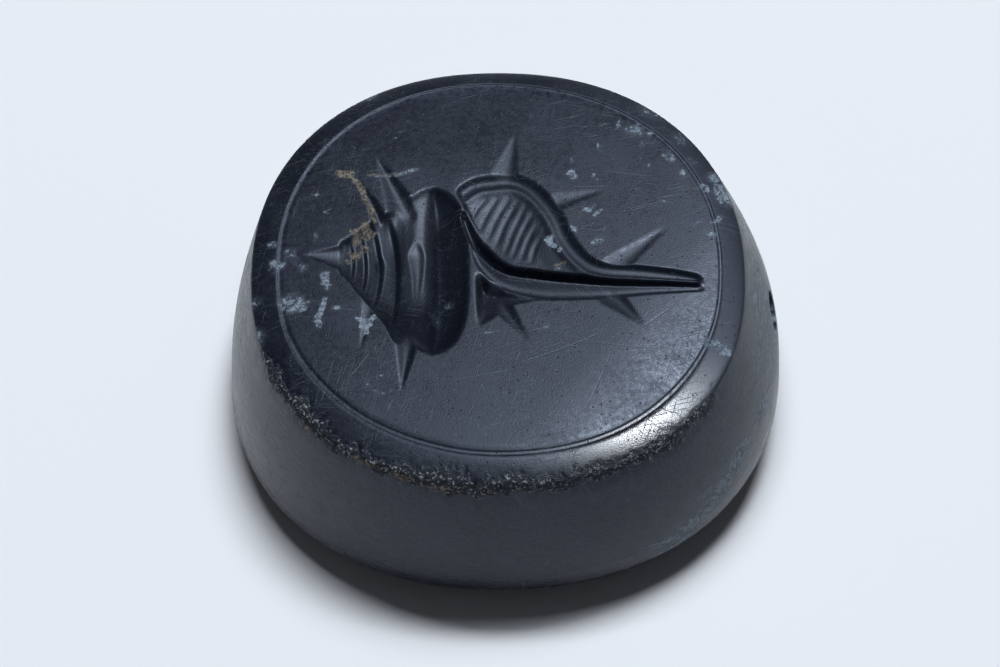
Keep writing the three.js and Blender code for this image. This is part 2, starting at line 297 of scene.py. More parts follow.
# for each point: distance from the path, side of it (left positive) and share of the way along it
def alongPath(x, y, points):
    path = smoothPath(points)
    tangent = np.gradient(path, axis=0)
    tangent /= np.linalg.norm(tangent, axis=1)[:, None]
    nearest = np.empty(x.size, int)
    for start in range(0, x.size, pointsAtOnce):
        chunk = slice(start, start + pointsAtOnce)
        gap = (x[chunk, None] - path[:, 0]) ** 2 + (y[chunk, None] - path[:, 1]) ** 2
        nearest[chunk] = gap.argmin(axis=1)
    dx, dy = x - path[nearest, 0], y - path[nearest, 1]
    ahead = dx * tangent[nearest, 0] + dy * tangent[nearest, 1]
    side = dy * tangent[nearest, 0] - dx * tangent[nearest, 1]
    before = np.where(nearest == 0, np.maximum(-ahead, 0), 0)
    behind = np.where(nearest == len(path) - 1, np.maximum(ahead, 0), 0)
    share = np.clip((nearest + ahead / shell["pathStep"]) / (len(path) - 1), 0, 1)
    return np.hypot(side, before + behind), side, share


# share of a stroke's full section at each place along it: a scoop is round at both ends, a finger round
# at one and thin at the other, a spine thins evenly, a vein is blunt at both ends, and the rest are read
# between the points of their taper
def taperAlong(kind, t):
    if kind == "scoop":
        share = np.sqrt(np.clip(1 - np.abs(2 * t - 1) ** 4, 0, 1))
    elif kind == "finger":
        opens, thins = shell["fingerTaper"]
        share = np.minimum(np.sqrt(np.clip(opens * t, 0, 1)), thins * (1 - t))
    elif kind == "spine":
        share = 1 - t
    elif kind == "vein":
        start, opens, end, closes = shell["veinTaper"]
        share = np.minimum(start + opens * t, end + closes * (1 - t))
    else:
        share = np.interp(t, *np.array(shell["tapers"][kind]).T)
    return np.clip(share, shell["thinnest"], 1)


# depth of one stroke = depth * taper * (1 - s^2)^power * (1 + lean * s), below zero outside it, where s is
# the distance from the path in half widths
def strokeDepth(x, y, points, halfWidth, depth=1.0, lean=0.0, kind="spine", power=0.9):
    out = np.full(x.shape, -1.0)
    low = np.min(points, axis=0) - halfWidth - shell["strokeMargin"]
    high = np.max(points, axis=0) + halfWidth + shell["strokeMargin"]
    inside = (x > low[0]) & (x < high[0]) & (y > low[1]) & (y < high[1])
    away, side, share = alongPath(x[inside], y[inside], points)
    section = taperAlong(kind, share)
    reach = halfWidth * section
    across = 1 - (away / reach) ** 2
    cut = depth * section * np.abs(across) ** power * (1 + lean * np.clip(side / reach, -1, 1))
    fall, stop = shell["strokeOutside"]
    out[inside] = np.where(across > 0, cut, fall * np.maximum(across, stop))
    return out


# spire: depth = station's depth * sqrt(1 - s^2), s the distance from the middle in half widths, and along
# it a tooth that deepens over each whorl and eases back before its seam
def spireDepth(x, y):
    place, middle, half, deep = np.array(shell["spire"]).T
    across = 1 - ((y - np.interp(x, place, middle)) / np.interp(x, place, half)) ** 2
    along = x - shell["seamBow"] * np.interp(x, place, half) * np.clip(across, 0, 1)
    seams = np.array(shell["seams"])
    whorl = np.clip(np.searchsorted(seams, along), 1, len(seams) - 1)
    through = np.clip((along - seams[whorl - 1]) / (seams[whorl] - seams[whorl - 1]), 0, 1)
    deepens, easesBack, mean = shell["seamTooth"]
    tooth = np.minimum(through / deepens, smooth(1 - through, 0, easesBack))
    depth = np.interp(x, place, deep) * (1 + shell["seamStep"] * (tooth - mean))
    fall, stop = shell["whorlOutside"]
    value = np.where(across > 0, depth * np.sqrt(np.abs(across)), fall * np.maximum(across, stop))
    return np.where((x > place[0]) & (x < place[-1]), value, -1)


# body whorl: its section, read between the points and averaged over a little width, times half an ellipse
# along it, longer above the deepest place than below
def bodyDepth(x, y):
    out = np.full(x.shape, -1.0)
    middle, halfLength, halfWidth = shell["bodyBox"]
    inside = (np.abs(x - middle) < halfLength) & (np.abs(y) < halfWidth)
    away, side, share = alongPath(x[inside], y[inside], shell["body"])
    reach = shell["bodyHalfWidth"] * taperAlong("scoop", share)
    place, level = np.array(shell["bodySection"]).T
    shifts = shell["sectionEasing"]
    section = sum(np.interp(side / reach + shift, place, level) for shift in shifts) / len(shifts)
    deepest = shell["bodyDeepest"]
    fromDeepest = (share - deepest) / np.where(share < deepest, deepest, 1 - deepest)
    bowl = np.sqrt(np.clip(1 - fromDeepest**2, shell["bodyEnds"], 1))
    edge = 1 - away / reach
    fall, stop = shell["whorlOutside"]
    out[inside] = np.where(edge > 0, shell["bodyDepth"] * bowl * section, fall * np.maximum(edge, stop))
    return out


# depth of the whole picture: the deepest cut at each point, with rounded creases, and fine lines added
def carvedDepth(x, y):
    soft = shell["softness"]
    depth = softMax(np.zeros(x.shape), spireDepth(x, y), soft)
    depth = softMax(depth, bodyDepth(x, y), soft)
    for stroke in shell["spines"] + [shell["band"]]:
        depth = softMax(depth, strokeDepth(x, y, *stroke), soft)
    left, right, low, high = shell["mouthBox"]
    near = (x > left) & (x < right) & (y > low) & (y < high)
    nearX, nearY = x[near], y[near]
    above = alongPath(nearX, nearY, shell["groove"][0])[1]
    inward = -alongPath(nearX, nearY, shell["lipEdge"])[1]
    lip = np.interp(inward, shell["lipSteps"], shell["lipDepths"], left=shell["lipOutside"])
    inner = np.where(lip > 0, (lip + soft) * smooth(above, 0, shell["lipFade"]) - soft, lip)
    depth[near] = softMax(depth[near], inner, soft)
    upward = alongPath(nearX, nearY, shell["hollowEdge"])[1]
    start, fade = shell["hollowTop"]
    below = smooth(-alongPath(nearX, nearY, shell["band"][0])[1] - start, 0, fade)
    end, fade = shell["hollowRight"]
    floor = np.clip(np.minimum(shell["hollowStep"], upward) + shell["hollowSlope"] * upward, 0, 1)
    floor = floor * smooth(end - nearX, 0, fade)
    start, fade = shell["hollowLeft"]
    hollow = floor * below * smooth(nearX - start, 0, fade)
    depth[near] = softMax(depth[near], hollow - soft, soft)
    depth = softMax(depth, strokeDepth(x, y, *shell["groove"]), soft)
    bowX, bowY = shell["ribBow"]
    for (topX, topY), (endX, endY) in shell["ribs"]:
        line = [(topX, topY), ((topX + endX) / 2 + bowX, (topY + endY) / 2 + bowY), (endX, endY)]
        rib = strokeDepth(x, y, line, shell["ribHalfWidth"], kind="scoop", power=1.5)
        depth += shell["ribDepth"] * np.clip(rib, 0, 1)
    for points, halfWidth, extra in shell["folds"]:
        fold = strokeDepth(x, y, points, halfWidth, kind="finger", power=1.0)
        depth += extra * np.clip(fold, 0, 1)
    return depth


# The broken front edge.
chipping = {
    "span": (190, 212, 318, 336),  # degrees round the stone: starts, full, full, ends
    "band": (0.36, 0.85, 1.05, 1.75),  # places across the rim and side: starts, full, full, ends
    "wornShift": 0.12,  # it starts farther out where the rim is worn
    "ragged": 0.6,  # how far its outline wanders
    "coarse": (0.9, 0.8, 11),  # noises of the outline: size along the edge, rate across it and seed
    "fine": (0.2, 4, 17),
    "grain": 0.14,  # size of the crumbs
    "crumbRate": 0.9,  # millimetres in one place across
    "crumbCut": (0.25, 0.75),  # levels of their noise from lowest to highest
    "crumbSeed": 5,
    "base": 0.01,
    "roughness": 0.075,
}


# how broken the edge is: the angle's share times the share across the rim, both ragged with noise
def brokenShare(theta, across):
    degrees = np.degrees(theta) % 360
    s0, s1, s2, s3 = chipping["span"]
    b0, b1, b2, b3 = chipping["band"]
    run = theta * edgeRadius
    noises = (chipping["coarse"], chipping["fine"])
    coarse, fine = (layeredNoise(run / size, across * rate, seed) for size, rate, seed in noises)
    ragged = chipping["ragged"] * (coarse + fine - 1)
    inner = across + ragged - chipping["wornShift"] * wornShare(theta)
    front = smooth(degrees, s0, s1) * (1 - smooth(degrees, s2, s3))
    return front * smooth(inner, b0, b1) * (1 - smooth(across + ragged, b2, b3))


# depth knocked off there = share * (base + roughness * noise)
def brokenDepth(theta, across):
    run = theta * edgeRadius / chipping["grain"]
    over = across * chipping["crumbRate"] / chipping["grain"]
    crumbs = smooth(layeredNoise(run, over, chipping["crumbSeed"]), *chipping["crumbCut"])
    return brokenShare(theta, across) * (chipping["base"] + chipping["roughness"] * crumbs)


# places from -1 to 1 that stand closer together between two of them: the inverse of the summed density
def closerBetween(count, low, high, extra):
    place, ease = np.linspace(-1, 1, 2001), 0.1
    inside = smooth(place, low - ease, low + ease) * (1 - smooth(place, high - ease, high + ease))
    density = 1 + extra * inside
    total = np.cumsum(density)
    total = (total - total[0]) / (total[-1] - total[0])
    return np.interp(np.linspace(0, 1, count + 1), total, place)


# rounded block: x = a u sqrt(1 - k v^2), y = b v sqrt(1 - k u^2); the rings round it keep its angles
def stoneSurface():
    columns = closerBetween(weave["across"], *weave["denseX"])
    rows = closerBetween(weave["along"], *weave["denseY"])
    u, v = np.meshgrid(columns, rows)
    x = weave["middle"][0] + weave["halfLength"] * u * np.sqrt(1 - weave["rounding"] * v * v)
    y = weave["middle"][1] + weave["halfWidth"] * v * np.sqrt(1 - weave["rounding"] * u * u)
    index = np.arange(x.size).reshape(x.shape)
    loop = np.concatenate([index[0, :-1], index[:-1, -1], index[-1, :0:-1], index[:0:-1, 0]])
    faceX, faceY = x.ravel(), y.ravel()
    start, theta = polarAbout(faceX[loop], faceY[loop])

    border, half = borderAt(theta), borderHalf(theta)
    rings = []  # each ring: radius, height, place across the rim
    for i in range(1, weave["faceRows"] + 1):
        radius = start + (border - half - start) * i / weave["faceRows"]
        rings.append((radius, faceHeight(radius, theta), 0))
    for i in range(1, weave["borderRows"] + 1):
        t = i / weave["borderRows"]
        radius = border - half + 2 * half * t
        groove = stone["borderDepth"] * smooth(min(t, 1 - t), 0, stone["borderWall"])
        rings.append((radius, faceHeight(radius, theta) - groove, 0))
    rimStart = border + half
    rimHeight = faceHeight(rimStart, theta)
    worn = wornShare(theta)
    bevel, curl = stone["rimBevel"], stone["rimCurl"][0] + stone["rimCurl"][1] * worn
    drop, dropReach = stone["wornDrop"]
    dropped = edgeHeight - drop * worn
    for i in range(1, weave["rimRows"] + 1):
        out = math.sin(np.pi / 2 * i / weave["rimRows"])
        radius = rimStart + (edgeRadius - rimStart) * out
        fall = bevel * out + (1 - bevel) * (1 - (1 - out**curl) ** (1 / curl))
        height = rimHeight - (rimHeight - dropped) * fall
        rings.append((radius, height, i / weave["rimRows"]))
    for i in range(1, weave["sideRows"] + 1):
        share = (i / weave["sideRows"]) ** weave["sideBunching"]
        radius = edgeRadius + (girthRadius - edgeRadius) * np.sin(share * np.pi / 2)
        height = edgeHeight + (girthHeight - edgeHeight) * share
        height = height + (dropped - edgeHeight) * (1 - smooth(share, 0, dropReach))
        rings.append((radius, height, 1 + sideSpan * share))
    for i in range(1, weave["underRows"] + 1):
        turn = np.pi / 2 * i / weave["underRows"]
        radius = stone["flatRadius"] + (girthRadius - stone["flatRadius"]) * np.cos(turn)
        height = girthHeight * (1 - np.sin(turn))
        rings.append((radius, height, underPlace))

    filled = [[np.broadcast_to(part, theta.shape) for part in ring] for ring in rings]
    radius, height, across = (np.array(column) for column in zip(*filled))
    angle = np.broadcast_to(theta, radius.shape)
    chip = brokenDepth(angle, across)
    tilt = np.clip(across, 0, 1) * np.pi / 2
    radius, height = radius - chip * np.sin(tilt), height - chip * np.cos(tilt)
    ringX, ringY, ringZ = placeOnStone(radius, height, angle)

    blockX, blockY = faceX + faceMiddle[0], faceY + faceMiddle[1]
    points = np.column_stack([
        np.concatenate([blockX, ringX.ravel(), [0.0]]),
        np.concatenate([blockY, ringY.ravel(), [0.0]]),
        np.concatenate([faceHeight(*polarAbout(faceX, faceY)), ringZ.ravel(), [0.0]]),
    ])
    face = np.arange(blockX.size + weave["faceRows"] * theta.size)
    depth = carvedDepth(points[face, 0] - faceMiddle[0], points[face, 1] - faceMiddle[1])
    block = depth[:blockX.size].reshape(index.shape)
    block[1:-1] = (block[:-2] + 2 * block[1:-1] + block[2:]) / 4  # takes the steps out of steep walls
    block[:, 1:-1] = (block[:, :-2] + 2 * block[:, 1:-1] + block[:, 2:]) / 4
    points[face, 2] -= depth

    corners = (index[:-1, :-1], index[:-1, 1:], index[1:, 1:], index[1:, :-1])
    squares = np.column_stack([a.ravel() for a in corners])
    ring = np.vstack([loop, blockX.size + np.arange(radius.size).reshape(radius.shape)])
    after = np.roll(ring, -1, axis=1)
    bands = np.column_stack([a.ravel() for a in (ring[:-1], ring[1:], after[1:], after[:-1])])
    pole = len(points) - 1
    cap = np.column_stack([ring[-1], np.full(theta.size, pole), after[-1]])
    return points, np.vstack([squares, bands]), cap


# object of that name, in the scene
def addObject(name, data):
    piece = bpy.data.objects.new(name, data)
    bpy.context.scene.collection.objects.link(piece)
    return piece


# points of a mesh, in millimetres
def pointsOf(mesh):
    place = np.empty(len(mesh.vertices) * 3, np.float32)
    mesh.vertices.foreach_get("co", place)
    return (place.reshape(-1, 3) / mm).astype(float)


# mesh from points in millimetres and arrays of four-sided and three-sided faces
def meshFromArrays(name, points, quads, triangles):
    mesh = bpy.data.meshes.new(name)
    corners = np.concatenate([quads.ravel(), triangles.ravel()]).astype(np.int32)
    sizes = np.concatenate([np.full(len(quads), 4), np.full(len(triangles), 3)]).astype(np.int32)
    mesh.vertices.add(len(points))
    mesh.vertices.foreach_set("co", (points * mm).astype(np.float32).ravel())
    mesh.loops.add(len(corners))
    mesh.loops.foreach_set("vertex_index", corners)
    mesh.polygons.add(len(sizes))
    mesh.polygons.foreach_set("loop_start", np.concatenate([[0], np.cumsum(sizes)[:-1]]).astype(np.int32))
    mesh.polygons.foreach_set("use_smooth", np.ones(len(sizes), bool))
    mesh.update(calc_edges=True)
    mesh.validate()
    return addObject(name, mesh)


stringHole = {
    "radius": 0.7,
    "mouth": 0.85,
    "mouthLength": 0.9,
    "mouthRows": 8,
    "mouthPower": 1.5,  # it widens slowly, then faster
    "overrun": 1.0,  # the drill goes on this far past the widest line
    "middle": (0.0, 1.3, 4.1),
    "turn": -3.5,  # degrees about +Z
    "climb": 2.9,  # degrees up towards +X
    "sides": 48,
    "sharpOver": 60,  # an edge bent by more degrees than this is shaded sharp
    "sharpBelow": 6.0,  # and only below this height, so that the picture stays smooth
}


# sharp edges: bent by more than an angle, and with both ends below a height
def sharpenMouths(mesh):
    mesh.set_sharp_from_angle(angle=math.radians(stringHole["sharpOver"]))
    ends = np.empty(len(mesh.edges) * 2, np.int32)
    mesh.edges.foreach_get("vertices", ends)
    sharp = np.empty(len(mesh.edges), bool)
    mesh.attributes["sharp_edge"].data.foreach_get("value", sharp)
    low = pointsOf(mesh)[ends, 2].reshape(-1, 2).max(axis=1) < stringHole["sharpBelow"]
    mesh.attributes["sharp_edge"].data.foreach_set("value", sharp & low)


# drill: a profile of radii turned round the X axis, wider at both ends, then tipped up and turned about +Z
def drillSurface():
    reach, mouthAt = girthRadius + stringHole["overrun"], girthRadius - stringHole["mouthLength"]
    flare = np.linspace(0, 1, stringHole["mouthRows"])
    along = np.concatenate([-reach + (reach - mouthAt) * flare, mouthAt + (reach - mouthAt) * flare])
    widen = np.concatenate([1 - flare, flare]) ** stringHole["mouthPower"]
    wide = stringHole["radius"] + (stringHole["mouth"] - stringHole["radius"]) * widen
    turn = np.linspace(0, 2 * np.pi, stringHole["sides"], endpoint=False)
    x = np.repeat(along[:, None], turn.size, axis=1)
    y = wide[:, None] * np.cos(turn)
    z = wide[:, None] * np.sin(turn)
    ring = np.arange(x.size).reshape(x.shape)
    after = np.roll(ring, -1, axis=1)
    quads = np.column_stack([a.ravel() for a in (ring[:-1], after[:-1], after[1:], ring[1:])])
    wall = np.column_stack([x.ravel(), y.ravel(), z.ravel()])
    points = np.vstack([wall, [[-reach, 0, 0], [reach, 0, 0]]])
    aim = Euler((0, -math.radians(stringHole["climb"]), math.radians(stringHole["turn"]))).to_matrix()
    first, last = x.size, x.size + 1
    caps = np.vstack([
        np.column_stack([np.full(turn.size, first), after[0], ring[0]]),
        np.column_stack([np.full(turn.size, last), ring[-1], after[-1]]),
    ])
    return points @ np.array(aim).T + stringHole["middle"], quads, caps


sealStone = meshFromArrays("seal_stone_carved", *stoneSurface())
print("stone: blank and picture cut,", len(sealStone.data.vertices), "points")
drill = meshFromArrays("drill", *drillSurface())
cut = sealStone.modifiers.new("string hole", "BOOLEAN")
cut.operation = "DIFFERENCE"
cut.solver = "MANIFOLD"
cut.object = drill
bpy.context.view_layer.update()
drilled = bpy.data.meshes.new_from_object(sealStone.evaluated_get(bpy.context.evaluated_depsgraph_get()))
sealStone.modifiers.clear()
sealStone.data = drilled
sharpenMouths(drilled)
bpy.data.objects.remove(drill)
print("stone: string hole drilled,", sum(len(p.vertices) - 2 for p in drilled.polygons), "triangles")

# What has settled on the stone, with one painted reflection among the crusts. Spots on the face: x, y,
# radius and
# strength. Streaks: path, half width and strength. Crusts on the rim and side: degrees round the stone,
# height, half length, half height, strength.
marks = {
    "drift": 0.7,  # how far the outlines of spots wander
    "driftSize": 0.4,  # size of the noise that moves them
    "driftSeeds": (21, 33),
    "streakDrift": 0.3,  # share of it for streaks
    "streakReach": 1.5,  # half widths over which a streak fades
    "limeSpots": [
        (-8.03, 1.27, 0.3, 0.9), (-8.05, 0.42, 0.35, 0.9), (-7.09, 0.2, 0.45, 0.8), (-7.5, 0.75, 0.5, 0.6),
        (-6.22, -0.43, 0.42, 1.0), (-7.2, -1.28, 0.5, 0.9), (-7.6, -1.2, 0.5, 0.75),
        (-5.92, -1.66, 0.22, 1.0), (-6.48, -2.08, 0.2, 0.8), (-8.46, -2.46, 0.35, 0.9),
        (-4.72, -2.05, 0.28, 2.2), (-4.72, -2.4, 0.28, 2.2),
        (-4.33, -4.43, 0.14, 1.0), (-6.6, 3.3, 0.16, 0.8), (-6.2, 2.55, 0.18, 0.8), (-6.6, 1.5, 0.3, 0.7),
        (4.32, 6.47, 0.28, 0.9), (4.86, 6.25, 0.4, 0.8), (5.4, 6.03, 0.35, 0.7), (5.3, 5.6, 0.25, 0.6),
        (6.18, 5.15, 0.3, 0.75), (6.5, 4.42, 0.26, 1.0), (7.28, 3.77, 0.26, 1.0), (6.9, 4.9, 0.3, 0.6),
        (7.15, 2.3, 0.22, 0.9), (7.86, 2.3, 0.24, 0.9), (7.57, 1.7, 0.22, 1.1), (5.3, 4.65, 0.16, 0.9),
        (2.57, 4.16, 0.2, 1.2), (2.62, 4.72, 0.18, 0.7), (3.4, 4.03, 0.14, 0.9), (3.7, 5.3, 0.14, 0.7),
        (3.1, 2.72, 0.4, 0.95), (3.5, 2.45, 0.3, 0.9), (2.66, 1.7, 0.3, 0.9), (3.5, 1.3, 0.3, 0.8),
        (3.75, 1.75, 0.12, 0.9), (1.57, -2.33, 0.2, 0.9), (1.8, 1.22, 0.27, 2.2), (2.05, 0.82, 0.2, 2.0),
        (2.12, 0.28, 0.18, 1.2), (-1.9, -0.9, 0.26, 0.62), (-2.3, -1.6, 0.4, 0.5), (-3.1, 3.15, 0.2, 0.6),
        (-3.35, 6.4, 0.14, 0.7), (1.2, 6.9, 0.2, 0.6), (-0.4, 5.9, 0.2, 0.5),
    ],
    "limeStreaks": [
        ([(-6.28, -0.98), (-6.36, -1.7), (-6.44, -2.38)], 0.1, 1.1),
        ([(-4.79, -4.43), (-4.6, -4.95), (-4.1, -5.1), (-3.6, -4.85)], 0.06, 0.6),
        ([(-3.9, 5.6), (-3.6, 6.0), (-3.2, 6.05), (-2.85, 5.8)], 0.06, 0.6),
        ([(-5.4, 5.6), (-5.0, 5.3), (-4.6, 5.4)], 0.06, 0.5),
        ([(-4.6, 4.05), (-3.6, 4.2), (-2.9, 4.4)], 0.09, 0.75),
        ([(-1.1, -2.75), (-0.5, -2.65), (0.0, -2.6)], 0.06, 0.6),
        ([(5.6, 3.1), (6.3, 2.95)], 0.05, 0.6),
    ],
    "earthSpots": [
        (-4.75, 1.75, 0.34, 0.9), (-5.2, 1.5, 0.32, 0.9), (-5.3, 1.0, 0.3, 0.85), (-4.9, 1.15, 0.3, 0.7),
        (-5.35, 0.5, 0.26, 0.8), (2.2, 0.45, 0.16, 0.6),
    ],
    "earthStreaks": [
        ([(-5.9, 4.22), (-5.6, 4.2), (-5.2, 4.16)], 0.14, 1.2),
        ([(-5.35, 4.1), (-5.0, 3.6), (-4.72, 2.8), (-4.5, 2.1)], 0.1, 1.1),
        ([(-4.9, 4.1), (-4.2, 4.15), (-3.6, 4.25)], 0.07, 0.6),
    ],
    "limeCrusts": [
        (22.6, 8.25, 0.75, 0.3, 1.1), (28.0, 8.3, 0.4, 0.2, 0.9), (-21.7, 8.3, 0.5, 0.25, 0.8),
        (41.0, 8.35, 0.6, 0.25, 0.6), (52.0, 8.3, 0.9, 0.2, 0.55), (121.0, 8.2, 0.5, 0.2, 0.7),
        (-44.0, 2.9, 1.5, 0.8, 0.95), (-36.0, 3.5, 1.3, 0.8, 0.95), (-30.0, 4.4, 0.9, 0.8, 0.85),
        (-51.0, 2.4, 1.2, 0.7, 0.85), (-20.0, 4.6, 0.8, 0.9, 0.75), (188.0, 8.2, 0.4, 0.25, 0.7),
        # the broad crust at -2 degrees is a painted reflection: a pale film standing in for the bright floor
        # seen in the right side
        (-2.0, 5.2, 3.4, 3.2, 0.6), (-36.0, 3.6, 3.0, 1.4, 0.36), (197.0, 8.2, 0.6, 0.2, 0.7),
    ],
    "earthCrusts": [
        (238.0, 8.0, 1.0, 0.25, 0.8), (248.0, 7.95, 0.9, 0.25, 0.9), (256.0, 7.8, 0.7, 0.25, 0.8),
        (222.0, 7.75, 0.3, 0.12, 1.0), (275.0, 7.9, 1.6, 0.2, 0.55),
    ],
}


# strongest of several spots: strength * (1 - distance^2 / radius^2), never below zero
def spotField(x, y, spots):
    field = np.zeros(x.shape)
    for spotX, spotY, radius, strength in spots:
        apart = ((x - spotX) ** 2 + (y - spotY) ** 2) / radius**2
        field = np.maximum(field, strength * np.clip(1 - apart, 0, 1))
    return field


# strongest of several streaks, each a stroke of depth 1 times its strength
def streakField(x, y, streaks):
    field = np.zeros(x.shape)
    for points, halfWidth, strength in streaks:
        reach = halfWidth * marks["streakReach"]
        streak = strokeDepth(x, y, points, reach, kind="vein", power=1.0)
        field = np.maximum(field, strength * streak)
    return field


# strongest of several crusts on the rim and side, measured along the edge and up the stone
def crustField(theta, height, crusts):
    field = np.zeros(theta.shape)
    for degrees, level, halfLength, halfHeight, strength in crusts:
        turn = (theta - math.radians(degrees) + np.pi) % (2 * np.pi) - np.pi
        apart = (turn * edgeRadius / halfLength) ** 2 + ((height - level) / halfHeight) ** 2
        field = np.maximum(field, strength * np.clip(1 - apart, 0, 1))
    return field


# Where the painted fields begin and are full, in millimetres or in places across the rim and side.
wear = {
    "facePart": (1.5, 0.05),  # the face is no lower than this under the edge, and this far inside it
    "rimMargin": 0.1,  # the rim's fields may reach this far in over the border line
    "insideBorder": 0.2,  # the picture stays this far inside it
    "sunkDepth": (0.01, 0.06),
    "deepDepth": (0.5, 0.85),
    "lowCutDepth": (0.12, 0.3),  # low on the face shallower cuts count as deep too
    "lowCutPlace": (0.2, 1.8),
    "rubbedInner": (-0.1, 0.1),
    "rubbedOuter": (0.6, 0.9),
    "rimInner": (-0.05, 0.1),
    "rimOuter": (0.9, 1.2),
    "rimRight": (0.1, 0.6),  # cosine of the angle: the rim is duller on the right
    "sideFrom": (0.9, 1.3),
    "dustLine": (-0.1, -0.02),  # minus the distance from the border line
    "dustBack": (-4, 2),  # dust lies in the line more to the back and the sides, by y + spread * |x|
    "dustSpread": 0.3,
    "dustFront": 0.25,  # share of it that is left at the front
    "strongest": 1.5,
}


# fields painted on the stone's points: how broken, limy (lime, and the painted reflection on the right
# side), earthy, sunk, deep, rubbed or dusty each point is, and how far out on the rim or side; each is a
# product of smooth steps over the limits above
def paintMarks(mesh):
    x, y, z = pointsOf(mesh).T
    faceX, faceY = x - faceMiddle[0], y - faceMiddle[1]
    radius, theta = polarAbout(x, y, stone["edgeMiddle"])
    rimTop = borderAt(theta) + borderHalf(theta)
    outward = np.clip((radius - rimTop) / (edgeRadius - rimTop), 0, 1)
    down = np.clip((edgeHeight - z) / (edgeHeight - girthHeight), 0, 1)
    outside = radius > rimTop - wear["rimMargin"]
    across = outside * np.where(z > edgeHeight, np.arcsin(outward) / (np.pi / 2), 1 + sideSpan * down)
    deepest, inset = wear["facePart"]
    onFace = (z > edgeHeight - deepest) & (radius < edgeRadius - inset)
    faceRadius, faceTheta = polarAbout(faceX, faceY)
    border = borderAt(faceTheta)
    inPicture = onFace & (faceRadius < border - wear["insideBorder"])
    cutDepth = np.where(inPicture, faceHeight(faceRadius, faceTheta) - z, 0)
    lowCut = smooth(cutDepth, *wear["lowCutDepth"]) * smooth(-faceY, *wear["lowCutPlace"])
    back = smooth(wear["dustSpread"] * np.abs(faceX) + faceY, *wear["dustBack"])
    back = wear["dustFront"] + (1 - wear["dustFront"]) * back
    dusty = smooth(-np.abs(faceRadius - border), *wear["dustLine"]) * back

    size, bend = marks["driftSize"], marks["streakDrift"]
    drift = [layeredNoise(faceX / size, faceY / size, seed) - 0.5 for seed in marks["driftSeeds"]]
    driftX, driftY = faceX + marks["drift"] * drift[0], faceY + marks["drift"] * drift[1]
    bentX, bentY = faceX * (1 - bend) + driftX * bend, faceY * (1 - bend) + driftY * bend
    settled = {}
    for kind in ("lime", "earth"):
        spots = spotField(driftX, driftY, marks[kind + "Spots"])
        streaks = streakField(bentX, bentY, marks[kind + "Streaks"])
        crusts = outside * crustField(theta, z, marks[kind + "Crusts"])
        settled[kind] = np.maximum(np.where(onFace, np.maximum(spots, streaks), 0), crusts)

    fromRim = radius - rimTop
    rubbed = smooth(fromRim, *wear["rubbedInner"]) * (1 - smooth(across, *wear["rubbedOuter"]))
    rim = smooth(fromRim, *wear["rimInner"]) * (1 - smooth(across, *wear["rimOuter"]))
    fields = {
        "broken": brokenShare(theta, across),
        "lime": settled["lime"],
        "earth": settled["earth"],
        "sunk": smooth(cutDepth, *wear["sunkDepth"]),
        "deep": np.maximum(smooth(cutDepth, *wear["deepDepth"]), lowCut),
        "rubbed": wornShare(theta) * rubbed,
        "rim": rim * smooth(np.cos(theta), *wear["rimRight"]),
        "side": smooth(across, *wear["sideFrom"]),
        "dust": np.where(onFace, dusty, 0),
    }
    for name, field in fields.items():
        layer = mesh.attributes.new(name, "FLOAT", "POINT")
        layer.data.foreach_set("value", np.clip(field, 0, wear["strongest"]).astype(np.float32))


paintMarks(sealStone.data)
print("stone: wear and deposits painted")

